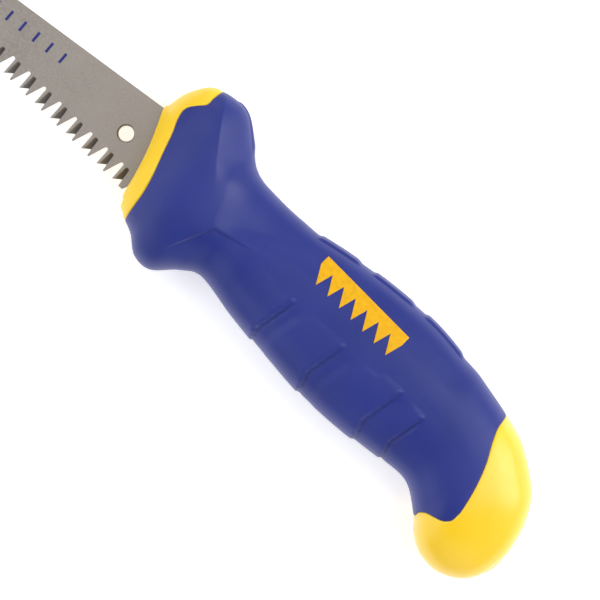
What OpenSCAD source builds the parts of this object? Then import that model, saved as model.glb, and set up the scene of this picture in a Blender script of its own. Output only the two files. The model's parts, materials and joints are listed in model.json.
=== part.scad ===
// Fixed-blade drywall saw: a tapered steel blade held by a hard two-part core,
// with a hard collar in front, a hard cap behind and a soft overmoulded grip.
// It lies on its right side: +X towards the tip, +Y towards the teeth, +Z up.
// Lengths are millimetres. The modules work from the heel of the blade, on its
// centreline, and stand() then moves the origin under the middle of the saw.

/* [Blade] */
// Length of the blade in front of the heel
blade_len = 165; // [150:1:180]
// Thickness of the blade steel
blade_t = 1.5; // [1.2:0.1:1.8]
// Width of the blade at the heel, over the tooth tips
heel_w = 26; // [25:0.5:26.5]
// Width of the blade where the sharpened point begins
tip_w = 4.4; // [4:0.1:8]
// Length of the sharpened point
point_len = 9; // [6:0.5:14]
// Diameter of the hole near the heel
hole_d = 4.6; // [4:0.1:6]
// Width of the bevel round that hole, on each face
hole_bevel = 0.5; // [0.2:0.05:0.6]
// Distance of that hole in front of the heel
hole_x = 5.6; // [5:0.1:20]

/* [Teeth] */
// Length of blade taken by two teeth, one ground from each side
pair_pitch = 6.35; // [6:0.05:7]
// Depth of a full gullet
tooth_depth = 5.7; // [4.5:0.1:6]
// Largest share of the blade's width that a gullet may take
gullet_share = 0.5; // [0.35:0.05:0.55]
// Radius at the bottom of the wide gullet
wide_root_r = 0.65; // [0.5:0.05:0.7]
// Radius at the bottom of the slanted gullet
slant_root_r = 0.45; // [0.35:0.05:0.5]
// Angle at which the slanted gullet is ground through the steel
slant_angle = 47; // [40:1:50]
// Angle at which the wide gullet is ground, the other way
wide_slant = 14; // [0:1:16]

/* [Tang] */
// Length of the tang behind the heel
tang_len = 82; // [76:1:95]
// Width of the tang behind its shoulders
tang_w = 17; // [14:0.5:18]
// Diameter of the pins through the tang
pin_d = 5; // [3:0.5:6]
// Length of those pins
pin_len = 14; // [10:1:16]
// Distance of the first pin behind the heel
pin_first = 34; // [30:1:36]
// Distance between the two pins
pin_gap = 32; // [24:1:34]

/* [Handle] */
// Thickness of the soft grip over the core
grip_wall = 3; // [2:0.25:4]
// Squareness of the handle's cross-section, where 2 is an ellipse
squareness = 2.5; // [2.2:0.1:3]
// Diameter of the cap's plug inside the core
plug_d = 12; // [8:0.5:14]
// Length of that plug
plug_len = 22; // [14:1:26]

/* [Printing] */
// Thickness of the printed marks
ink_t = 0.08; // [0.05:0.01:0.15]
// Distance of the first depth mark in front of the heel
mark_first = 34; // [30:1:40]
// Distance between depth marks
mark_gap = 5; // [4:1:5]
// Number of depth marks
mark_count = 18; // [10:1:18]
// Width of a depth mark
mark_w = 0.8; // [0.4:0.1:1.2]
// Length of a depth mark
mark_len = 3.4; // [2:0.1:3.6]
// Number of teeth in the strip printed on the grip
motif_teeth = 7; // [5:1:9]

/* [Hidden] */
$fn = 48;
eps = 0.01;
yellow = [1, 0.84, 0.2];
blue = [0.22, 0.24, 0.56];

// Ribs of the handle, from front to back. Each crosses the handle from the back edge
// (the blade's back side) to the finger edge (the teeth side) and lists: distance
// behind the heel and y of the back edge, the same of the finger edge, half thickness,
// bow of the rib towards the tip, and skew of that bow towards the back edge.
RIBS = [
    [-2.4, -14.2, 6.4, 15.8, 7.6, 0.0, 0.9],
    [-1.3, -18.0, 7.4, 17.2, 9.6, 1.0, 0.9],
    [1.0, -22.2, 8.5, 17.9, 11.4, 2.4, 0.9],
    [4.5, -26.2, 9.5, 18.3, 12.8, 3.8, 0.9],
    [8.1, -27.6, 10.5, 18.6, 13.8, 4.6, 0.9],
    [13.0, -28.7, 14.5, 21.6, 14.8, 3.2, 0.6],
    [18.5, -27.6, 19.5, 25.7, 15.2, 1.6, 0.3],
    [25.0, -22.3, 25.5, 25.9, 14.8, 0.4, 0.0],
    [31.5, -16.7, 32.0, 21.2, 13.6, 0.0, 0.0],
    [38.5, -14.9, 38.5, 17.8, 12.6, 0.0, 0.0],
    [52.0, -14.2, 52.0, 20.9, 12.6, 0.0, 0.0],
    [68.0, -16.1, 68.0, 23.4, 13.4, 0.0, 0.0],
    [84.0, -17.2, 84.0, 25.4, 14.0, 0.0, 0.0],
    [100.0, -16.9, 100.0, 25.6, 14.1, 0.0, 0.0],
    [114.0, -14.4, 114.0, 24.2, 13.8, -0.6, -0.5],
    [124.0, -12.1, 123.0, 25.1, 13.8, -3.6, -0.9],
    [133.5, -9.0, 130.8, 31.0, 14.2, -7.4, -0.9],
    [141.0, -6.6, 134.6, 35.2, 14.4, -7.0, -0.8],
    [148.0, -2.2, 139.2, 38.1, 13.8, -5.6, -0.6],
    [153.4, 3.4, 145.4, 38.9, 12.2, -4.0, -0.4],
    [157.2, 10.6, 151.0, 37.3, 9.8, -2.6, -0.2],
    [159.0, 18.0, 155.4, 34.2, 6.6, -1.4, 0.0],
    [159.6, 23.4, 158.2, 29.8, 2.4, -0.4, 0.0],
];
COLLAR_RIB = 4;
CAP_RIB = 16;
LAST_RIB = len(RIBS) - 1;
RIB_STEP = 0.5;
AROUND = 28;
ALL_ROUND = [for (i = [0 : AROUND - 1]) i * 360 / AROUND];
// The strip on the grip lies between these ribs and these points of the ring
MOTIF_RIBS = [10.5, 13];
MOTIF_TURN = [7, 12];

// Outermost reach of the handle, which with the blade sets the origin
handle_back = 159.6;
guard_side = 28.7;
finger_side = 38.9;
half_thick = 15.2;

taper = atan((heel_w - tip_w) / 2 / (blade_len - point_len));
first_gullet = -1.95;
toothless_end = 13;
pair_count = floor((blade_len - toothless_end - first_gullet) / pair_pitch);

// ---------- curves of the handle ----------

// Point on a smooth curve between b and c, where a and d are their other neighbours
function spline(a, b, c, d, t) =
    0.5 * (2 * b + (c - a) * t + (2 * a - 5 * b + 4 * c - d) * t * t
        + (3 * b - a - 3 * c + d) * t * t * t);

function rib_no(i) = RIBS[min(max(i, 0), LAST_RIB)];

// Rib at any station s, which counts ribs and fractions of a rib
function rib(s) =
    let (i = min(floor(s), LAST_RIB - 1))
    spline(rib_no(i - 1), rib_no(i), rib_no(i + 1), rib_no(i + 2), s - i);

function signed_power(v, p) = sign(v) * pow(abs(v), p);

// Point of the skin at station s and angle a, moved inwards by inset
function skin(s, a, inset = 0) =
    let (
        r = rib(s),
        back = [-r[0], r[1]],
        finger = [-r[2], r[3]],
        chord = finger - back,
        across = signed_power(cos(a), 2 / squareness),
        up = signed_power(sin(a), 2 / squareness),
        bow = r[5] * (1 - across * across) * (1 - r[6] * across),
        p = (back + finger) / 2 + (norm(chord) / 2 - inset) * across * chord / norm(chord)
    )
    [p[0] + bow, p[1], max(r[4] - inset, eps) * up];

function stations(first, last) = [for (s = [first : RIB_STEP : last + eps]) s];

function rings(list, inset) = [for (s = list, a = ALL_ROUND) skin(s, a, inset)];

// Side walls between count rings; base is the number of the first point
function walls(count, base = 0, inward = false) =
    [for (k = [0 : count - 2], i = [0 : AROUND - 1])
        let (
            a = base + k * AROUND + i,
            b = base + k * AROUND + (i + 1) % AROUND,
            c = b + AROUND,
            d = a + AROUND
        )
        each inward ? [[c, b, a], [d, c, a]] : [[a, b, c], [a, c, d]]];

// Ruled sheet that closes a ring, each point joined to the one straight below it
function sheet(base, flip) =
    [for (i = [0 : AROUND / 2 - 1])
        let (
            a = base + i,
            b = base + i + 1,
            c = base + AROUND - i - 1,
            d = base + (AROUND - i) % AROUND
        )
        each [for (t = [[a, b, c], [a, c, d]])
            if (t[0] != t[1] && t[1] != t[2] && t[2] != t[0])
                flip ? [t[2], t[1], t[0]] : t]];

// Solid length of the handle between two ribs
module handle_slice(first, last, inset = 0) {
    list = stations(first, last);
    end = (len(list) - 1) * AROUND;
    polyhedron(
        rings(list, inset),
        concat(walls(len(list)), sheet(0, true), sheet(end, false)),
        convexity = 6
    );
}

// Hollow length of the handle between two ribs
module handle_tube(first, last, inset) {
    list = stations(first, last);
    inner = len(list) * AROUND;
    end = inner - AROUND;
    lips = [for (i = [0 : AROUND - 1])
        let (j = (i + 1) % AROUND)
        each [
            [j, i, inner + i],
            [j, inner + i, inner + j],
            [end + i, end + j, inner + end + j],
            [end + i, inner + end + j, inner + end + i]
        ]];
    polyhedron(
        concat(rings(list, 0), rings(list, inset)),
        concat(walls(len(list)), walls(len(list), inner, true), lips),
        convexity = 8
    );
}

// ---------- blade ----------

// Half the blade's width at a distance in front of the heel
function half_width(x) = heel_w / 2 - x * tan(taper);

// Outline of the blade and its tang
module blade_outline() {
    straight = blade_len - point_len;
    shoulder = 9;
    tang_end_w = 5;
    slope = 6;
    corner = 3.9;
    side = [
        [straight, half_width(straight)],
        [-corner, half_width(-corner)],
        [-corner - 1.4, tang_w / 2 + 2],
        [-shoulder, tang_w / 2 + 1],
        [-shoulder - 4, tang_w / 2],
        [-tang_len + slope, tang_w / 2 - 2.5],
        [-tang_len, tang_end_w / 2],
    ];
    polygon(concat(
        [[blade_len, tip_w / 4]],
        side,
        [for (i = [len(side) - 1 : -1 : 0]) [side[i][0], -side[i][1]]]
    ));
}

// Gullet profile: the tooth line is the X axis and the root lies towards -Y.
// Each flank leans outwards by its own angle when the gullet has its full depth.
module gullet(root_r, tip_side, heel_side, depth) {
    over = 1;
    spread = tooth_depth / depth;
    tip_lean = atan(tan(tip_side) * spread);
    heel_lean = atan(tan(heel_side) * spread);
    rise = depth - root_r + over;
    translate([0, root_r - depth]) {
        circle(root_r);
        polygon([
            [-root_r * cos(heel_lean), -root_r * sin(heel_lean)],
            [root_r * cos(tip_lean), -root_r * sin(tip_lean)],
            [root_r / cos(tip_lean) + rise * tan(tip_lean), rise],
            [-root_r / cos(heel_lean) - rise * tan(heel_lean), rise],
        ]);
    }
}

// One gullet ground through the steel at a slant
module notch(root_r, tip_side, heel_side, depth, slant) {
    through = 6 * blade_t;
    rotate([0, slant, 0])
        translate([0, 0, -through / 2])
            linear_extrude(through)
                gullet(root_r, tip_side, heel_side, depth);
}

// Third grind of every second tooth, which slopes its top back towards the heel
module top_grind(depth) {
    reach = pair_pitch * 0.4;
    fall = depth * 0.36;
    translate([0, 0, -blade_t])
        linear_extrude(2 * blade_t)
            polygon([[reach, 0.4], [reach, 0], [0, -fall], [-0.2, 0.4]]);
}

// All the gullets, along the tooth line
module gullets() {
    translate([0, heel_w / 2, 0])
        rotate([0, 0, -taper])
            for (i = [0 : pair_count - 1]) {
                x = first_gullet + i * pair_pitch;
                depth = min(tooth_depth, gullet_share * 2 * half_width(x + pair_pitch / 2));
                translate([x, 0, 0])
                    notch(slant_root_r, 1, 5, depth, slant_angle);
                translate([x, 0, 0])
                    top_grind(depth);
                translate([x + pair_pitch / 2, 0, 0])
                    notch(wide_root_r, 17, 3, depth, -wide_slant);
            }
}

// Steel ground off one face of the point
module point_grind() {
    edge_t = 0.3;
    translate([blade_len - point_len, -heel_w / 2, blade_t / 2])
        rotate([0, atan((blade_t - edge_t) / 2 / point_len), 0])
            cube([2 * point_len, heel_w, blade_t]);
}

// Hole near the heel, bevelled on both faces
module tie_hole() {
    translate([hole_x, 0, 0]) {
        cylinder(d = hole_d, h = 2 * blade_t, center = true);
        for (side = [0, 1])
            mirror([0, 0, side])
                translate([0, 0, blade_t / 2 - hole_bevel])
                    cylinder(d1 = hole_d, d2 = hole_d + 4 * hole_bevel, h = 2 * hole_bevel);
    }
}

module blade() {
    color([0.62, 0.59, 0.56])
        difference() {
            translate([0, 0, -blade_t / 2])
                linear_extrude(blade_t)
                    blade_outline();
            gullets();
            tie_hole();
            pins(2 * blade_t);
            point_grind();
            mirror([0, 0, 1])
                point_grind();
        }
}

// Ruled depth marks printed on the left face of the blade
module blade_marks() {
    color([0.13, 0.14, 0.42])
        for (i = [0 : mark_count - 1]) {
            x = mark_first + i * mark_gap;
            middle = -0.44 * half_width(x);
            translate([x - mark_w / 2, middle - mark_len / 2, blade_t / 2])
                cube([mark_w, mark_len, ink_t]);
        }
}

// ---------- inside the handle ----------

module pins(length) {
    for (x = [pin_first, pin_first + pin_gap])
        translate([-x, 0, -length / 2])
            cylinder(d = pin_d, h = length);
}

// Two steel pins that key the tang into the core
module tang_pins() {
    color([0.7, 0.7, 0.72])
        pins(pin_len);
}

// Everything that the core is hollowed for: tang, pins and the cap's plug
module core_pockets() {
    translate([0, 0, -blade_t / 2])
        linear_extrude(blade_t)
            blade_outline();
    pins(pin_len);
    cap_plug();
}

// Half of the hard core, cut at the middle plane of the blade
module core_half(below) {
    big = 300;
    color([0.93, 0.78, 0.2])
        difference() {
            handle_slice(COLLAR_RIB, CAP_RIB, grip_wall);
            translate([-big / 2, -big / 2, below ? 0 : -big])
                cube(big);
            core_pockets();
        }
}

module core_left() {
    core_half(false);
}

module core_right() {
    core_half(true);
}

// ---------- outside of the handle ----------

// Hard collar around the heel of the blade
module nose_collar() {
    color(yellow)
        difference() {
            handle_slice(0, COLLAR_RIB);
            translate([0, 0, -blade_t / 2])
                linear_extrude(blade_t)
                    blade_outline();
        }
}

// Plug of the cap, which the core's two halves clamp
module cap_plug() {
    translate([-142, 8, 0])
        rotate([0, 90, 0])
            cylinder(d = plug_d, h = plug_len);
}

// Hard cap over the butt
module butt_cap() {
    color(yellow) {
        handle_slice(CAP_RIB, LAST_RIB);
        cap_plug();
    }
}

// Soft grip moulded over the core
module grip_sleeve() {
    color(blue)
        handle_tube(COLLAR_RIB, CAP_RIB, grip_wall);
}

// Outline of the saw-tooth strip printed on the grip
module motif_outline() {
    strip_len = 33;
    strip_w = 3;
    tooth_h = 5.5;
    step = strip_len / motif_teeth;
    translate([-95.5, -5])
        rotate(-5)
            polygon(concat(
                [[0, -strip_w], [strip_len, -strip_w]],
                [for (i = [motif_teeth - 1 : -1 : 0])
                    each [[(i + 1) * step, 0], [(i + 0.3) * step, tooth_h]]],
                [[0, 0]]
            ));
}

// Thin film on the left side of the grip, to cut the strip from
module ink_film() {
    list = stations(MOTIF_RIBS[0], MOTIF_RIBS[1]);
    turn = [for (i = [MOTIF_TURN[0] : MOTIF_TURN[1]]) ALL_ROUND[i]];
    rows = len(list);
    cols = len(turn);
    under = [for (s = list, a = turn) skin(s, a)];
    count = len(under);
    rim = concat(
        [for (i = [0 : cols - 1]) i],
        [for (k = [1 : rows - 1]) k * cols + cols - 1],
        [for (i = [cols - 2 : -1 : 0]) (rows - 1) * cols + i],
        [for (k = [rows - 2 : -1 : 1]) k * cols]
    );
    cells = [for (k = [0 : rows - 2], i = [0 : cols - 2])
        let (a = k * cols + i)
        each [[a, a + 1, a + 1 + cols], [a, a + 1 + cols, a + cols]]];
    sides = [for (i = [0 : len(rim) - 1])
        let (
            a = rim[i],
            b = rim[(i + 1) % len(rim)]
        )
        each [[b, a, a + count], [b, a + count, b + count]]];
    polyhedron(
        concat(under, [for (p = under) p + [0, 0, ink_t]]),
        concat(
            [for (t = cells) [t[2], t[1], t[0]]],
            [for (t = cells) t + [count, count, count]],
            [for (t = sides) [t[2], t[1], t[0]]]
        ),
        convexity = 4
    );
}

// Saw-tooth strip printed on each side of the grip
module grip_motif() {
    color([0.98, 0.78, 0.05])
        for (side = [0, 1])
            mirror([0, 0, side])
                intersection() {
                    ink_film();
                    linear_extrude(2 * half_thick)
                        motif_outline();
                }
}

// Puts the origin under the middle of the whole saw, on the surface it lies on
module stand() {
    translate([(handle_back - blade_len) / 2, (guard_side - finger_side) / 2, half_thick])
        children();
}

stand() {
    blade();
    blade_marks();
    tang_pins();
    core_left();
    core_right();
    nose_collar();
    grip_sleeve();
    butt_cap();
    grip_motif();
}
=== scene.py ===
"""Looks of a fixed-blade drywall saw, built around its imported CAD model.

The handle is one smooth loft, cut into a hard collar, a soft grip and a hard cap. Lofting is
done in millimetres from the heel of the blade: x towards the tip, y towards the teeth and z
out of the left face. Two more words are used for places on the handle: u is the distance
behind the heel (-x) and n is the distance towards the back edge (-y).
"""
import json
import math

import bpy
import numpy as np
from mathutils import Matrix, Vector
from mathutils.bvhtree import BVHTree

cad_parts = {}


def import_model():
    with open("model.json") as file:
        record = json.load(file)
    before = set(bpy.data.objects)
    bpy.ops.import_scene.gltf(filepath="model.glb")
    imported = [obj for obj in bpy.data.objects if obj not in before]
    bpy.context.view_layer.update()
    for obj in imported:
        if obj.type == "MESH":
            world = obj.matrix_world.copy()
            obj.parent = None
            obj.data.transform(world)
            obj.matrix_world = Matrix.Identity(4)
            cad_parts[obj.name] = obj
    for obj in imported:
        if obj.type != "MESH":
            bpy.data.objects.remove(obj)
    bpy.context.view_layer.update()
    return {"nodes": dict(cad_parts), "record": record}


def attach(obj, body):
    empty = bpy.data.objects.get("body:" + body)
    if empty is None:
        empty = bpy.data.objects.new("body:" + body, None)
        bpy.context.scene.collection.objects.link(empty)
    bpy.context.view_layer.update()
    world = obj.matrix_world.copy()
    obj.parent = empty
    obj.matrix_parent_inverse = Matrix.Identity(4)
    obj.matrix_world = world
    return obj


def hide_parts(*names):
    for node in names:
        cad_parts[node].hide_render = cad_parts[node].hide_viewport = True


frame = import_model()
MM = 0.001

# ---------------------------------------------------------------- places from the frame

HOLE_AHEAD = 5.6  # the tie hole is this far in front of the heel
HOLE = Vector(frame["record"]["mounts"][0]["pos_m"])
HEEL = HOLE - Vector((HOLE_AHEAD * MM, 0, 0))


def world(points):
    """Points of the loft, in the frame's metres."""
    return np.asarray(points) * MM + np.array(HEEL)


# ---------------------------------------------------------------- the handle's loft

def ramp(value, start, end):
    """0 up to start, 1 from end, and smooth between them."""
    t = np.clip((value - start) / (end - start), 0, 1)
    return t * t * (3 - 2 * t)


# Ribs from front to back: u and y of the back edge, u and y of the finger edge, half thickness
RIBS = np.array([
    [-2.4, -14.2, 5.8, 15.7, 7.6],
    [-0.7, -18.0, 6.8, 17.2, 9.6],
    [1.5, -22.2, 8.0, 17.9, 11.4],
    [4.8, -26.2, 9.0, 18.6, 12.8],
    [8.1, -27.6, 10.2, 19.4, 13.7],
    [13.0, -28.7, 14.5, 21.6, 14.9],
    [18.5, -27.6, 19.5, 25.7, 15.1],
    [25.0, -22.3, 25.5, 25.9, 14.6],
    [31.5, -16.5, 32.0, 20.5, 13.7],
    [38.5, -14.8, 38.5, 17.7, 13.0],
    [52.0, -14.2, 52.0, 20.6, 12.6],
    [68.0, -16.1, 68.0, 23.2, 13.4],
    [84.0, -17.2, 84.0, 25.2, 14.0],
    [100.0, -16.9, 100.0, 25.3, 14.1],
    [114.0, -14.5, 114.0, 24.0, 13.8],
    [124.0, -12.0, 123.0, 24.5, 13.8],
    [133.5, -9.3, 130.8, 30.3, 14.2],
    [141.0, -6.5, 134.6, 34.6, 14.4],
    [148.0, -1.6, 139.2, 37.7, 13.8],
    [153.4, 3.4, 145.4, 38.8, 12.2],
    [157.0, 10.6, 151.0, 37.2, 9.8],
    [158.7, 18.0, 155.2, 34.0, 6.6],
    [159.1, 23.4, 157.8, 29.8, 2.6],
])
LAST_RIB = len(RIBS) - 1
SQUARENESS = 2.5  # of the cross-section, where 2 is an ellipse
GUARD_SQUARENESS = 4.2  # and on the back side of the guard, which is boxier
BOXY_FROM, BOXY_TO = (0.5, 3.5), (5.5, 8)  # stations over which that comes and goes
THINNEST = 0.2  # least half width and half thickness that an inset leaves
FRONT_HOLLOW = 1.4  # the collar's front line is hollow by this much at its middle
AROUND = 288  # points of each ring
MIDDLING = (21, 14)  # half width and half thickness of a middling cross-section


def powered(value):
    """Cosine or sine bent so that it draws the squarish cross-section."""
    return np.sign(value) * np.abs(value) ** (2 / SQUARENESS)


def even_angles(count):
    """Angles that step evenly along the outline of a middling cross-section."""
    fine = np.linspace(0, 2 * np.pi, 7201)
    wide, thick = MIDDLING
    outline = np.stack([wide * powered(np.cos(fine)), thick * powered(np.sin(fine))])
    steps = np.hypot(*np.diff(outline, axis=1))
    length = np.concatenate([[0], np.cumsum(steps)])
    return np.interp(np.arange(count) * length[-1] / count, length, fine)


def ribs_at(s):
    """Ribs at stations s, which count ribs and fractions of a rib, on a Catmull-Rom curve."""
    i = np.clip(np.floor(s).astype(int), 0, LAST_RIB - 1)
    t = (s - i)[..., None]
    a, b, c, d = (RIBS[np.clip(i + k, 0, LAST_RIB)] for k in (-1, 0, 1, 2))
    return 0.5 * (
        2 * b + (c - a) * t + (2 * a - 5 * b + 4 * c - d) * t**2 + (3 * b - a - 3 * c + d) * t**3
    )


def skin(s, angle, inset=0.0):
    """Points of the loft at stations s and ring angles, moved inwards by inset."""
    s, angle = np.broadcast_arrays(np.asarray(s, float), angle)
    rib = ribs_at(s)
    back = np.stack([-rib[..., 0], rib[..., 1]], -1)
    finger = np.stack([-rib[..., 2], rib[..., 3]], -1)
    chord = finger - back
    length = np.linalg.norm(chord, axis=-1)
    boxy = ramp(s, *BOXY_FROM) * (1 - ramp(s, *BOXY_TO)) * (np.cos(angle) < 0)
    squareness = SQUARENESS + (GUARD_SQUARENESS - SQUARENESS) * boxy
    across = powered(np.cos(angle))
    up = (1 - np.abs(across) ** squareness) ** (1 / squareness) * np.sign(np.sin(angle))
    half = np.maximum(length / 2 - inset, THINNEST)
    flat = (back + finger) / 2 + chord * (half * across / length)[..., None]
    lean = FRONT_HOLLOW * (1 - across**2) * np.maximum(0, 1 - s / 2)
    height = np.maximum(rib[..., 4] - inset, THINNEST) * up
    return np.stack([flat[..., 0] - lean, flat[..., 1], height], -1)


ANGLES = even_angles(AROUND)


def curve_through(points):
    """Smooth function through (n, u) points, with n rising."""
    n, u = (np.array(v, float) for v in zip(*points))
    slope = np.gradient(u, n)

    def value(at):
        """u at n, on the cubic piece between the two nearest points."""
        k = np.clip(np.searchsorted(n, at) - 1, 0, len(n) - 2)
        width = n[k + 1] - n[k]
        t = (np.clip(at, n[0], n[-1]) - n[k]) / width
        return (
            (1 + 2 * t) * (1 - t) ** 2 * u[k]
            + t * (1 - t) ** 2 * width * slope[k]
            + t**2 * (3 - 2 * t) * u[k + 1]
            + t**2 * (t - 1) * width * slope[k + 1]
        )

    return value


# Where the grip's rubber ends, seen square on to the blade: u against n
GRIP_FRONT = curve_through([
    (-20, 10.8), (-15, 10.7), (-10, 10.5), (-5, 9.6), (3, 7.3), (9, 5.6), (13, 4.1), (16, 3.8),
    (18, 4.8), (19.5, 6.4), (21, 7.9), (24, 8.3), (28, 8.7),
])
GRIP_BACK = curve_through([
    (-31, 131.0), (-28, 131.4), (-27.2, 132.6), (-26.2, 136.4), (-24.8, 138.4), (-22, 139.2),
    (-17, 138.8), (-11, 137.6), (-5, 135.8), (1, 133.3), (5, 132.2), (9.5, 132.4),
])


HALVINGS = 40  # of the search for a border


def border(curve, first, last):
    """Station, at each ring angle, where the loft crosses a border curve between two ribs."""
    low = np.full(AROUND, float(first))
    high = np.full(AROUND, float(last))
    for _ in range(HALVINGS):
        middle = (low + high) / 2
        point = skin(middle, ANGLES)
        beyond = -point[:, 0] > curve(-point[:, 1])
        low = np.where(beyond, low, middle)
        high = np.where(beyond, middle, high)
    return (low + high) / 2


FRONT_BORDER = border(GRIP_FRONT, 0.6, 6)
BACK_BORDER = border(GRIP_BACK, 14, 20)

# ---------------------------------------------------------------- moulded relief

# Sawtooth profile of the finger side, height against v: each pad swells slowly towards the
# butt, drops at its crest into a fine groove, and leaves a narrow valley before the next one
FINGER_LEAN = 0.25  # the crests lean this much towards the butt for each mm towards the back
LEAN_FROM = -20  # the profile's v is u at this n
FINGER_TURN = -18.5  # below this n the crests turn
OUTER_LEAN = 0.3  # and lean this much towards the butt for each mm towards the outline
FINGER_PADS = [(46.0, 59.9), (66.2, 79.2), (86.2, 100.3), (104.6, 110.2)]  # start and crest
PAD_CREST, GROOVE, VALLEY, LAST_VALLEY = 0.58, -0.62, -0.36, -0.16
RISE_WIDTH, DROP_WIDTH, GROOVE_WIDTH, LAST_WIDTH = 2.4, 0.5, 1.5, 9
PAD_SIDE = (-0.3, 1.1)  # mm inside the pads' boundary over which they rise
VALLEY_SIDE = (0, 6)  # and over which the valleys and grooves deepen
AT_EDGE = 0.5  # the relief is this much of its full height on the handle's outline
FACE_HEIGHT = (3, 10)  # and grows to its full height between these heights of the surface


def finger_profile():
    """Places v and heights of the corners of the sawtooth profile."""
    at, height = [], []
    for start, crest in FINGER_PADS:
        drop = crest + DROP_WIDTH / 2
        at += [start - RISE_WIDTH, start, drop - DROP_WIDTH, drop, drop + GROOVE_WIDTH]
        height += [VALLEY, 0, PAD_CREST, GROOVE, VALLEY]
    at += [FINGER_PADS[-1][1] + LAST_WIDTH]
    height += [0]
    height[0] = 0  # no valley before the first pad
    height[-2] = LAST_VALLEY
    return np.array(at), np.array(height)


FINGER_AT, FINGER_HEIGHT = finger_profile()
# Palm side boundary of the finger pads, n against u; it steps up halfway along the third pad
PALM_AT = [40, 60, 80, 95.5, 97.5, 104, 115]
PALM_LINE = [-3.6, -4.6, -5.2, -6.2, -4.4, -4.8, -6.6]


def finger_relief(u, n, z):
    """Pads under the fingers, with a groove behind each."""
    v = u - FINGER_LEAN * (np.maximum(n, FINGER_TURN) - LEAN_FROM)
    v = v - OUTER_LEAN * np.maximum(FINGER_TURN - n, 0)
    height = np.interp(v, FINGER_AT, FINGER_HEIGHT)
    inside = np.interp(u, PALM_AT, PALM_LINE) - n
    raised = np.maximum(height, 0) * ramp(inside, *PAD_SIDE)
    sunk = np.minimum(height, 0) * ramp(inside, *VALLEY_SIDE)
    return (raised + sunk) * (AT_EDGE + (1 - AT_EDGE) * ramp(np.abs(z), *FACE_HEIGHT))


CHEVRON_U, CHEVRON_N = 32.8, -4.4  # point of the chevron on the neck
FRONT_SLOPE, PALM_SLOPE = 0.52, 0.19  # of its two arms: u over n, and n over u
PANEL_SIDE = (-0.3, 0.4)  # mm inside each arm over which the recess deepens
PANEL_DEPTH = 0.6


def first_panel(u, n):
    """Shallow recess that begins at the chevron."""
    left = u - (CHEVRON_U + FRONT_SLOPE * (n - CHEVRON_N))
    right = (CHEVRON_N + PALM_SLOPE * (u - CHEVRON_U)) - n
    inside = ramp(left, *PANEL_SIDE) * ramp(right, *PANEL_SIDE)
    fade = (1 - ramp(u, 36, 46)) * ramp(n, -19, -14)
    return -PANEL_DEPTH * inside * fade


BACK_PADS = [(57.5, 71.0), (76.5, 91.0), (96.0, 111.5)]  # start and end of each
BACK_PAD_HEIGHT = 0.55
GUARD_PAD_HEIGHT = 0.4


def back_relief(u, n, z):
    """Flat-topped pads along the back edge."""
    height = np.zeros_like(u)
    for start, end in BACK_PADS:
        height += ramp(u, start - 0.5, start + 0.7) * (1 - ramp(u, end - 1.4, end + 1.2))
    across = (1 - ramp(np.abs(z), 5.8, 6.6)) * ramp(n, 6, 9)
    ground = ramp(u, 50, 58) * (1 - ramp(u, 112, 120)) * ramp(n, 2, 9)
    return BACK_PAD_HEIGHT * (height * across - ground)


def guard_relief(u, n, z):
    """Pad on the rear of the guard's upper lobe."""
    lengthwise = ramp(u, 13, 15) * (1 - ramp(u, 25, 28))
    across = (1 - ramp(np.abs(z), 5.0, 6.2)) * ramp(n, 15, 18)
    ground = ramp(u, 7, 13) * (1 - ramp(u, 28, 34)) * ramp(n, 8, 16)
    return GUARD_PAD_HEIGHT * (lengthwise * across - ground)


def relief(points):
    """Height of the moulded relief above the loft."""
    u, n, z = -points[..., 0], -points[..., 1], points[..., 2]
    front = finger_relief(u, n, z) + first_panel(u, n)
    return front + back_relief(u, n, z) + guard_relief(u, n, z)


# Creases across the guard's face, behind which it falls away: u and n of a point, the turn of
# its direction in degrees, the share of the height lost for each mm, the mm over which that
# levels off and over which the crease is rounded, and how far behind and along it fades
CREASES = [
    ((17.7, 15.9), 34, 0.042, 11, 0.2, (7, 16), (-14, -4), (30, 40)),
    ((28.7, 5.6), 21, 0.016, 7, 0.7, (14, 45), (-13, -7), (3, 11)),
]


def cut_creases(points):
    """Points of the loft, lowered behind each crease."""
    lowered = points.copy()
    for place, turn, share, level, blend, end, low, high in CREASES:
        u, n = -points[..., 0] - place[0], -points[..., 1] - place[1]
        turn = math.radians(turn)
        behind = u * math.cos(turn) + n * math.sin(turn)
        along = n * math.cos(turn) - u * math.sin(turn)
        eased = np.maximum(behind + blend, 0) ** 2 / (4 * blend)
        fall = level * np.tanh(np.where(behind > blend, behind, eased) / level)
        fall = fall * (1 - ramp(u, *end)) * ramp(along, *low) * (1 - ramp(along, *high))
        lowered[..., 2] *= 1 - share * fall
    return lowered


# ---------------------------------------------------------------- mesh helpers


def normals_of(grid):
    """Outward unit normals of a grid of rings."""
    along = np.gradient(grid, axis=0)
    around = np.roll(grid, -1, axis=1) - np.roll(grid, 1, axis=1)
    normal = np.cross(along, around)
    return normal / np.maximum(np.linalg.norm(normal, axis=-1, keepdims=True), 1e-9)


def ring_faces(rows, closed):
    """Quads between rings; closed joins the last ring to the first."""
    row = np.arange(rows if closed else rows - 1)[:, None]
    col = np.arange(AROUND)[None, :]
    a = row * AROUND + col
    b = row * AROUND + (col + 1) % AROUND
    step = (row + 1) % rows
    c = step * AROUND + (col + 1) % AROUND
    d = step * AROUND + col
    return np.stack([a, d, c, b], -1).reshape(-1, 4)


def mesh_object(name, points, faces, material):
    """Smooth-shaded object from points in mm and their faces."""
    mesh = bpy.data.meshes.new(name)
    mesh.from_pydata(world(points).tolist(), [], [list(map(int, f)) for f in faces])
    mesh.materials.append(material)
    mesh.shade_smooth()
    mesh.update()
    piece = bpy.data.objects.new(name, mesh)
    bpy.context.scene.collection.objects.link(piece)
    return piece


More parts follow.
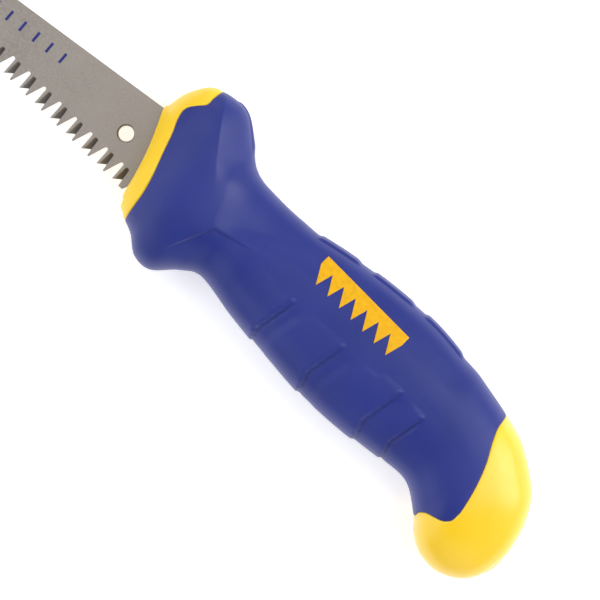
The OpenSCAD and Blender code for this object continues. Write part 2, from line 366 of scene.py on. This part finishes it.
def handle_piece(name, rings, closed, material):
    """Piece from a list of rings: either they come back to the first, or both ends are fanned."""
    grid = np.concatenate(rings)
    faces = ring_faces(len(grid), closed)
    points = grid.reshape(-1, 3)
    if not closed:
        poles = [grid[0].mean(axis=0), grid[-1].mean(axis=0)]
        col = np.arange(AROUND)
        nxt = (col + 1) % AROUND
        base = len(points)
        last = base - AROUND
        fans = [(int(a), int(b), base) for a, b in zip(col, nxt)]
        fans += [(int(last + b), int(last + a), base + 1) for a, b in zip(col, nxt)]
        points = np.concatenate([points, poles])
        faces = [tuple(f) for f in faces] + fans
    return mesh_object(name, points, faces, material)


EASED = np.array([0, 0.2, 0.5, 0.9])  # first rings beside a seam, in mm from it
LEAST_STEP = 0.4  # least gap from those to the even rings, in steps


def spread(count, length, ease_start, ease_end):
    """Fractions from 0 to 1 of a length, closer together near the eased ends."""
    t = np.linspace(0, 1, count)
    if ease_start:
        beside = EASED / length
        t = np.concatenate([beside, t[t > beside[-1] + LEAST_STEP / count]])
    if ease_end:
        beside = 1 - EASED[::-1] / length
        t = np.concatenate([t[t < beside[0] - LEAST_STEP / count], beside])
    return t[:, None]


def outer_rings(stations):
    """Finished surface of the handle at stations given for each ring and angle."""
    base = skin(stations, ANGLES)
    shaped = cut_creases(base)
    return shaped + normals_of(shaped) * relief(base)[..., None]


SEAM_DEPTH = 0.28  # of the fine groove between two mouldings
NEARBY_SHARE = 0.22  # of that depth, one ring away from the seam
SHELL = 2.6  # thickness of the mouldings


def rolled_in(grid, end):
    """The grid with its end ring sunk into the seam and one ring further down added."""
    index, nearby = (0, 1) if end == "front" else (-1, -2)
    normal = normals_of(grid)
    grid = grid.copy()
    grid[index] -= normal[index] * SEAM_DEPTH
    grid[nearby] -= normal[nearby] * SEAM_DEPTH * NEARBY_SHARE
    return grid, grid[index] - normal[index] * (SHELL - SEAM_DEPTH)


def inner_rings(first, last, count):
    """Coarse inner wall, from the last station back to the first."""
    fractions = np.linspace(1, 0, count)[1:-1]
    return cut_creases(skin(first + (last - first) * fractions[:, None], ANGLES, SHELL))


# ---------------------------------------------------------------- materials


def srgb(red, green, blue):
    """Linear colour from the usual 0 to 255 numbers."""
    linear = [v / 12.92 if v <= 0.04045 else ((v + 0.055) / 1.055) ** 2.4
              for v in (red / 255, green / 255, blue / 255)]
    return (*linear, 1.0)


class Nodes:
    """Short way to write a material's nodes; place is the object's own coordinates."""

    def __init__(self, name):
        self.material = bpy.data.materials.new(name)
        self.material.use_nodes = True
        self.tree = self.material.node_tree
        self.shader = self.tree.nodes["Principled BSDF"]
        self.place = self.add("ShaderNodeTexCoord").outputs["Object"]

    def add(self, kind, **values):
        """New node, with its properties and input sockets set by name."""
        node = self.tree.nodes.new(kind)
        for key, value in values.items():
            if hasattr(node, key):
                setattr(node, key, value)
            else:
                self.feed(node.inputs[key.replace("_", " ")], value)
        return node

    def feed(self, socket, value):
        """Links a socket to another node's output, or sets it to a plain value."""
        if isinstance(value, bpy.types.NodeSocket):
            self.tree.links.new(value, socket)
        else:
            socket.default_value = value

    def stretched(self, scale):
        """The object's coordinates, in units of 1/scale on each axis."""
        node = self.add("ShaderNodeMapping", vector_type="POINT")
        self.feed(node.inputs["Vector"], self.place)
        self.feed(node.inputs["Scale"], scale)
        return node.outputs["Vector"]

    def noise(self, scale, detail=3.0, roughness=0.5, stretch=(1, 1, 1)):
        """Noise from 0 to 1, smaller as scale rises."""
        node = self.add("ShaderNodeTexNoise", Scale=scale, Detail=detail, Roughness=roughness)
        self.feed(node.inputs["Vector"], self.stretched(stretch))
        return node.outputs["Fac"]

    def remap(self, value, low, high, to_low, to_high):
        """Value carried from one range to another, and held at its ends."""
        node = self.add("ShaderNodeMapRange", clamp=True)
        for name, number in zip(("Value", "From Min", "From Max", "To Min", "To Max"),
                                (value, low, high, to_low, to_high)):
            self.feed(node.inputs[name], number)
        return node.outputs["Result"]

    def mix(self, share, first, second):
        """Colour between the first and the second."""
        node = self.add("ShaderNodeMix", data_type="RGBA")
        self.feed(node.inputs[0], share)
        self.feed(node.inputs[6], first)
        self.feed(node.inputs[7], second)
        return node.outputs[2]

    def math(self, operation, first, second=0.0):
        """Result of one sum on one or two values."""
        node = self.add("ShaderNodeMath", operation=operation)
        self.feed(node.inputs[0], first)
        self.feed(node.inputs[1], second)
        return node.outputs[0]

    def bump(self, height, depth, strength=1.0, below=None):
        """Bump of a height from 0 to 1 that stands for depth metres."""
        node = self.add("ShaderNodeBump", Strength=strength, Distance=depth, Height=height)
        if below is not None:
            self.feed(node.inputs["Normal"], below)
        return node.outputs["Normal"]

    def split(self, vector):
        """Outputs X, Y and Z of a vector."""
        node = self.add("ShaderNodeSeparateXYZ")
        self.feed(node.inputs[0], vector)
        return node.outputs

    def set(self, **values):
        """Fills the shader's own sockets and returns the finished material."""
        for key, value in values.items():
            self.feed(self.shader.inputs[key.replace("_", " ")], value)
        return self.material


def rubber():
    """Soft blue overmould: satin, finely grained, a little uneven, with painted shade in its
    grooves.
    """
    n = Nodes("soft_blue_rubber")
    cloud = n.remap(n.noise(38, 4), 0.35, 0.65, 0, 1)
    tone = n.mix(cloud, srgb(35, 47, 126), srgb(40, 52, 134))
    worn = n.remap(n.noise(9, 5, 0.6), 0.5, 0.75, 0, 0.35)
    tone = n.mix(worn, tone, srgb(46, 56, 135))
    # Painted shade: concave grooves and corners, found by pointiness, are darkened towards deep
    # blue
    hollow = n.add("ShaderNodeNewGeometry").outputs["Pointiness"]
    tone = n.mix(n.remap(hollow, 0.43, 0.49, 0.85, 0), tone, srgb(22, 28, 84))
    grain = n.noise(4200, 2, 0.6)
    waves = n.noise(110, 2)
    normal = n.bump(grain, 0.00003, 0.5, n.bump(waves, 0.00012, 0.25))
    rough = n.remap(n.noise(60, 4), 0.3, 0.7, 0.36, 0.46)
    return n.set(Base_Color=tone, Roughness=rough, Normal=normal, Specular_IOR_Level=0.38,
                 Sheen_Weight=0.04, Sheen_Roughness=0.4, Sheen_Tint=srgb(190, 185, 235))


def yellow_plastic(name, gloss, coat, sheen, pale, deep):
    """Hard yellow moulding with a slight glow and fine scuffs."""
    n = Nodes(name)
    cloud = n.remap(n.noise(45, 3), 0.35, 0.65, 0, 1)
    tone = n.mix(cloud, deep, pale)
    scuffs = n.remap(n.noise(900, 3, 0.6, (0.15, 1, 1)), 0.62, 0.75, 0, 1)
    rough = n.math("ADD", n.remap(n.noise(70, 3), 0.3, 0.7, gloss, gloss + 0.08),
                   n.math("MULTIPLY", scuffs, 0.12))
    normal = n.bump(n.noise(2600, 2), 0.00002, 0.35, n.bump(n.noise(90, 2), 0.0001, 0.2))
    return n.set(Base_Color=tone, Roughness=rough, Normal=normal, Specular_IOR_Level=0.5,
                 Subsurface_Weight=0.12, Subsurface_Radius=(1.0, 0.55, 0.12),
                 Subsurface_Scale=0.0015, Coat_Weight=coat, Coat_Roughness=0.25,
                 Sheen_Weight=sheen, Sheen_Roughness=0.3, Sheen_Tint=srgb(255, 222, 180))


BEVEL_RADIUS = 0.0036, 0.0038  # from the hole's centre, where its bevel ends


def steel():
    """Satin ground steel, mottled; painted shade darkens the slanted faces, but for the hole's
    heel side, and a painted reflection of the collar lightens it near the heel.
    """
    n = Nodes("ground_steel")
    streaks = n.noise(2600, 4, 0.65, (0.05, 1, 1))
    grain = n.noise(1300, 4, 0.7)
    cloud = n.noise(60, 4, 0.6)
    tone = n.mix(n.remap(streaks, 0.35, 0.65, 0, 1), srgb(148, 143, 138), srgb(153, 148, 143))
    tone = n.mix(n.remap(grain, 0.38, 0.66, 0, 0.8), tone, srgb(116, 110, 104))
    tone = n.mix(n.remap(cloud, 0.35, 0.65, 0, 0.6), tone, srgb(160, 154, 148))
    along = n.split(n.place)["X"]
    # Painted reflection: the steel is lighter and warmer towards the heel, standing for the yellow
    # collar's reflection
    painted_collar_reflection = n.remap(along, HEEL.x, HEEL.x + 0.07, 0.75, 0)
    tone = n.mix(painted_collar_reflection, tone, srgb(172, 163, 155))
    # Painted shade: faces that slant away from flat, the teeth's ground faces and the hole's
    # bevel, are darkened by how they face
    facing = n.split(n.add("ShaderNodeNewGeometry").outputs["Normal"])["Z"]
    slanted = n.remap(n.math("ABSOLUTE", facing), 0.9, 0.97, 1, 0)
    from_hole = n.add("ShaderNodeVectorMath", operation="DISTANCE")
    n.feed(from_hole.inputs[0], n.place)
    n.feed(from_hole.inputs[1], HOLE)
    at_hole = n.remap(from_hole.outputs["Value"], *BEVEL_RADIUS, 1, 0)
    heel_side = n.remap(along, HOLE.x, HOLE.x + 0.0015, 1, 0)
    # Painted light: the heel side of the hole's bevel keeps the plain tone, and its other sides
    # take the painted shade
    lit_side_of_hole_bevel = n.math("MULTIPLY", slanted, n.math("MULTIPLY", at_hole, heel_side))
    tone = n.mix(n.math("SUBTRACT", slanted, lit_side_of_hole_bevel), tone, srgb(138, 134, 132))
    rough = n.mix(slanted, (0.42, 0.42, 0.42, 1), (0.38, 0.38, 0.38, 1))
    normal = n.bump(grain, 0.00001, 0.5, n.bump(streaks, 0.000006, 0.4))
    return n.set(Base_Color=tone, Metallic=0.9, Roughness=rough, Normal=normal)


def ink(name, colour, darker):
    """Thin print with a faint unevenness of cover."""
    n = Nodes(name)
    cover = n.remap(n.noise(700, 4, 0.65), 0.3, 0.6, 0, 1)
    rough = n.remap(n.noise(400, 2), 0.3, 0.7, 0.45, 0.6)
    return n.set(Base_Color=n.mix(cover, darker, colour), Roughness=rough, Specular_IOR_Level=0.3,
                 Normal=n.bump(n.noise(1500, 3), 0.00002, 0.4))


def core_plastic():
    """Plain moulded plastic of the hidden core."""
    n = Nodes("core_plastic")
    tone = n.mix(n.noise(60, 3), srgb(226, 190, 60), srgb(236, 202, 78))
    return n.set(Base_Color=tone, Roughness=0.5, Normal=n.bump(n.noise(1500, 2), 0.00002, 0.4))


def turned_steel():
    """Steel of the tang's pins, with faint rings."""
    n = Nodes("turned_steel")
    rings = n.noise(1200, 3, 0.6, (1, 1, 0.05))
    tone = n.mix(rings, srgb(170, 170, 174), srgb(196, 196, 200))
    return n.set(Base_Color=tone, Metallic=1.0, Roughness=0.34, Normal=n.bump(rings, 0.00001, 0.5))


def floor_paint():
    """Pale matt paint, lifted a little so that the saw's shadow stays faint."""
    n = Nodes("floor_paint")
    tone = n.mix(n.noise(3, 2), srgb(246, 246, 246), srgb(250, 250, 250))
    return n.set(Base_Color=tone, Roughness=0.9, Specular_IOR_Level=0.1,
                 Emission_Color=(1, 1, 1, 1), Emission_Strength=0.46)


RUBBER = rubber()
COLLAR_YELLOW = yellow_plastic("yellow_collar_plastic", 0.42, 0.15, 0.0,
                               srgb(255, 212, 26), srgb(252, 206, 16))
CAP_YELLOW = yellow_plastic("yellow_cap_plastic", 0.3, 0.5, 0.3,
                            srgb(255, 215, 42), srgb(255, 209, 30))
GRIP_INK = ink("orange_yellow_print", srgb(238, 179, 0), srgb(224, 164, 0))
BLADE_INK = ink("blue_print", srgb(44, 48, 128), srgb(34, 36, 104))

# ---------------------------------------------------------------- pieces of the handle


LEVEL_FROM, LEVEL_TO = 5.0, 15.0  # the grip's rings are level between these stations
GRIP_ROWS = (34, 236, 38)  # rings of its front, level and back parts
GRIP_ENDS = (8, 12)  # rough lengths of its front and back parts
INNER_ROWS = 24  # rings of its inner wall


def build_grip():
    """The soft grip, and the grid of its outer surface."""
    front_rows, level_rows, back_rows = GRIP_ROWS
    front = spread(front_rows, GRIP_ENDS[0], True, False)
    front = FRONT_BORDER + (LEVEL_FROM - FRONT_BORDER) * front
    middle = np.linspace(LEVEL_FROM, LEVEL_TO, level_rows)[1:-1, None] + np.zeros(AROUND)
    back = spread(back_rows, GRIP_ENDS[1], False, True)
    back = LEVEL_TO + (BACK_BORDER - LEVEL_TO) * back
    outer = outer_rings(np.concatenate([front, middle, back]))
    outer, front_lip = rolled_in(outer, "front")
    outer, back_lip = rolled_in(outer, "back")
    inner = inner_rings(FRONT_BORDER, BACK_BORDER, INNER_ROWS)
    rings = [outer, back_lip[None], inner, front_lip[None]]
    return handle_piece("grip_body", rings, True, RUBBER), outer


COLLAR_ROWS, COLLAR_LENGTH = 70, 10
FRONT_ROUND = 0.9  # radius of the collar's front edge, forwards
FRONT_FACE = 1.9  # and the same radius, inwards
SLOT_INSET = 2.0  # from the outline to the ends of the blade's slot
SLOT_HALF = 0.9  # half width of the slot
SLOT_DEPTH = 0.5  # of its wall


def front_rings():
    """Rounded front edge of the collar, its face, and the slot that the blade fills."""
    rings = []
    for turn in np.linspace(0, 90, 7)[1:]:
        phi = math.radians(turn)
        ring = skin(0.0, ANGLES, FRONT_FACE * (1 - math.cos(phi)))
        ring[:, 0] += FRONT_ROUND * (math.sin(phi) - 1)
        rings.append(ring)
    face = rings[-1]
    slot = skin(0.0, ANGLES, SLOT_INSET)
    slot[:, 2] = SLOT_HALF * powered(np.sin(ANGLES))
    for share in (0.35, 0.7, 0.93):
        rings.append(face + (slot - face) * share)
    deep = slot.copy()
    deep[:, 0] -= SLOT_DEPTH
    return rings + [deep]


def build_collar():
    """The hard collar round the heel of the blade."""
    rows = spread(COLLAR_ROWS, COLLAR_LENGTH, False, True)
    outer = outer_rings(FRONT_BORDER * rows)
    forward = 1 - ramp(rows, 0, 0.35)
    outer[..., 0] -= FRONT_ROUND * forward
    outer, back_lip = rolled_in(outer, "back")
    edge = front_rings()
    deep = edge[-1] + (back_lip - edge[-1]) * 0.5
    rings = [np.array(edge[::-1]), outer, back_lip[None], deep[None]]
    return handle_piece("nose_collar_shell", rings, True, COLLAR_YELLOW)


CAP_ROWS, CAP_LENGTH = 120, 25
DOME = 0.45  # the cap's end bulges this far past its last ring


def build_cap():
    """The hard hooked cap of the butt."""
    rows = spread(CAP_ROWS, CAP_LENGTH, True, False)
    outer = outer_rings(BACK_BORDER + (LAST_RIB - BACK_BORDER) * rows)
    outer, front_lip = rolled_in(outer, "front")
    centre = outer[-1].mean(axis=0)
    dome = []
    for turn in np.linspace(0, 90, 8)[1:-1]:
        phi = math.radians(turn)
        ring = centre + (outer[-1] - centre) * math.cos(phi)
        ring[:, 0] -= DOME * math.sin(phi)
        dome.append(ring)
    rings = [front_lip[None], outer, np.array(dome)]
    return handle_piece("butt_cap_shell", rings, False, CAP_YELLOW)


# ---------------------------------------------------------------- print on the grip

STRIP_AT = (-95.5, -5.0)  # rear end of the line that the teeth stand on, x and y
STRIP_TURN = -5.0  # degrees from the blade's line
STRIP_LENGTH, STRIP_WIDTH, STRIP_TOOTH = 33.0, 3.0, 5.5
STRIP_TEETH = 7
STRIP_PEAK = 0.3  # share of a tooth's length at which it is highest
PRINT_ROWS = 26
PRINT_LIFT, PRINT_SINK = 0.06, -0.3  # of the film's two faces, from the grip's surface
OUTSIDE = 60.0  # a height well above the grip


def strip_columns():
    """Places along the strip and the height of its toothed edge at each."""
    step = STRIP_LENGTH / STRIP_TEETH
    rise = np.linspace(0, STRIP_PEAK, 5)[1:]
    fall = np.linspace(STRIP_PEAK, 1, 11)[1:]
    along, top = [0.0], [0.0]
    for i in range(STRIP_TEETH):
        along += list((i + rise) * step) + list((i + fall) * step)
        top += list(STRIP_TOOTH * rise / STRIP_PEAK)
        top += list(STRIP_TOOTH * (1 - fall) / (1 - STRIP_PEAK))
    return np.array(along), np.array(top)


def build_print(tree):
    """Film laid on both sides of the grip, sides and all."""
    along, top = strip_columns()
    share = np.linspace(0, 1, PRINT_ROWS)[:, None]
    q = -STRIP_WIDTH + (top + STRIP_WIDTH) * share
    p = np.broadcast_to(along, q.shape)
    turn = math.radians(STRIP_TURN)
    x = STRIP_AT[0] + p * math.cos(turn) - q * math.sin(turn)
    y = STRIP_AT[1] + p * math.sin(turn) + q * math.cos(turn)
    rows, cols = q.shape
    points, faces = [], []
    for side in (1, -1):
        base = len(points)
        inwards = Vector((0, 0, -side))
        for lift in (PRINT_LIFT, PRINT_SINK):
            for px, py in zip(x.ravel(), y.ravel()):
                start = Vector((px, py, OUTSIDE * side))
                hit, normal, _, _ = tree.ray_cast(start, inwards)
                points.append(hit + normal * lift)
        faces += film_faces(rows, cols, base, side)
    return mesh_object("grip_print", points, faces, GRIP_INK)


def film_faces(rows, cols, base, side):
    """Faces of a closed film of two grids, the outer one first."""
    count = rows * cols
    faces = []
    for k in range(rows - 1):
        for i in range(cols - 1):
            a = base + k * cols + i
            quad = [a, a + 1, a + 1 + cols, a + cols]
            faces.append(quad)
            faces.append([v + count for v in quad[::-1]])
    rim = list(range(cols))
    rim += [k * cols + cols - 1 for k in range(1, rows)]
    rim += [(rows - 1) * cols + i for i in range(cols - 2, -1, -1)]
    rim += [k * cols for k in range(rows - 2, 0, -1)]
    for a, b in zip(rim, rim[1:] + rim[:1]):
        faces.append([base + a, base + a + count, base + b + count, base + b])
    return faces if side > 0 else [f[::-1] for f in faces]


# ---------------------------------------------------------------- put together

grip, grip_skin = build_grip()
collar = build_collar()
cap = build_cap()
skin_tree = BVHTree.FromPolygons(
    [tuple(p) for p in grip_skin.reshape(-1, 3)],
    [tuple(map(int, f)) for f in ring_faces(len(grip_skin), False)],
)
printed = build_print(skin_tree)

for piece, node, slot in (
    (grip, "grip_sleeve", "grip_rubber"),
    (collar, "nose_collar", "yellow_plastic"),
    (cap, "butt_cap", "yellow_plastic"),
    (printed, "grip_motif", "grip_ink"),
):
    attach(piece, "root")
    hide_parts(node)


BEVEL_WIDTH = 0.12  # of the blade's ground edges
BEVEL_ANGLE = 50  # degrees; gentler edges stay as they are


def finish_node(node, material):
    """Gives a CAD node that stays its material."""
    for slot in frame["nodes"][node].material_slots:
        slot.material = material


finish_node("blade", steel())
edges = frame["nodes"]["blade"].modifiers.new("eased_edges", "BEVEL")
edges.width = BEVEL_WIDTH * MM
edges.limit_method = "ANGLE"
edges.angle_limit = math.radians(BEVEL_ANGLE)
finish_node("blade_marks", BLADE_INK)
finish_node("tang_pins", turned_steel())
CORE = core_plastic()
finish_node("core_left", CORE)
finish_node("core_right", CORE)

# ---------------------------------------------------------------- stage, light and camera

FLOOR_SIDE = 6.0
VIEW_TURN = 220.45  # degrees that the picture is turned about the vertical
VIEW_DISTANCE = 0.6  # of the camera above the blade's middle plane
VIEW_WIDTH = 0.17595  # of the picture at that plane
VIEW_CENTRE = (-0.0675, -0.0010)  # x and y that the camera looks straight down on
SENSOR = 36.0
# Sine of the elevation at which the surroundings start and end to darken, and both strengths
WORLD_RANGE = (0.6, 0.85, 0.46, 0.0)
TARGET = Vector((-0.07, 0, 0))  # the place that the lamps face
LAMP_DISTANCE = 0.95  # from it
# Each soft lamp's hour on a clock face laid over the picture, elevation, size and power
LAMPS = [
    ("right_low", 3, 30, 0.6, 3.9),
    ("below", 6, 30, 0.7, 0.7),
    ("top_low", 0, 32, 0.5, 1.2),
    ("left_low", 9, 32, 1.0, 3.4),
    ("left_high", 10.5, 62, 0.6, 1.8),
    ("right_high", 3, 62, 0.6, 2.7),
]


def build_floor():
    """Plain pale floor under the saw."""
    half = FLOOR_SIDE / 2
    mesh = bpy.data.meshes.new("floor")
    mesh.from_pydata([(-half, -half, 0), (half, -half, 0), (half, half, 0), (-half, half, 0)], [],
                     [(0, 1, 2, 3)])
    mesh.materials.append(floor_paint())
    floor = bpy.data.objects.new("floor", mesh)
    bpy.context.scene.collection.objects.link(floor)


def build_light():
    """Surroundings that are pale but for a dark patch overhead, and the soft lamps."""
    world_light = bpy.data.worlds.new("studio")
    world_light.use_nodes = True
    tree = world_light.node_tree
    background = tree.nodes["Background"]
    direction = tree.nodes.new("ShaderNodeTexCoord").outputs["Generated"]
    split = tree.nodes.new("ShaderNodeSeparateXYZ")
    tree.links.new(direction, split.inputs[0])
    height = tree.nodes.new("ShaderNodeMapRange")
    tree.links.new(split.outputs["Z"], height.inputs["Value"])
    for name, number in zip(("From Min", "From Max", "To Min", "To Max"), WORLD_RANGE):
        height.inputs[name].default_value = number
    tree.links.new(height.outputs["Result"], background.inputs["Strength"])
    background.inputs["Color"].default_value = (1, 1, 1, 1)
    bpy.context.scene.world = world_light
    for name, hour, elevation, size, power in LAMPS:
        turn = math.radians(VIEW_TURN + 90 - 30 * hour)
        rise = math.radians(elevation)
        flat = LAMP_DISTANCE * math.cos(rise)
        up = LAMP_DISTANCE * math.sin(rise)
        away = Vector((flat * math.cos(turn), flat * math.sin(turn), up))
        add_lamp(name, TARGET + away, size, power)


def add_lamp(name, place, size, power):
    """Square soft lamp that faces the target."""
    lamp = bpy.data.lights.new(name, "AREA")
    lamp.size = size
    lamp.energy = power
    obj = bpy.data.objects.new(name, lamp)
    obj.location = place
    obj.rotation_euler = (TARGET - place).to_track_quat("-Z", "Y").to_euler()
    bpy.context.scene.collection.objects.link(obj)


def build_camera():
    """Camera straight above the saw, turned as the picture is."""
    camera = bpy.data.cameras.new("camera")
    camera.sensor_width = SENSOR
    camera.lens = SENSOR * VIEW_DISTANCE / VIEW_WIDTH
    obj = bpy.data.objects.new("camera", camera)
    obj.location = (*VIEW_CENTRE, HEEL.z + VIEW_DISTANCE)
    obj.rotation_euler = (0, 0, math.radians(VIEW_TURN))
    bpy.context.scene.collection.objects.link(obj)
    bpy.context.scene.camera = obj


build_floor()
build_light()
build_camera()
bpy.context.scene.view_settings.view_transform = "Standard"
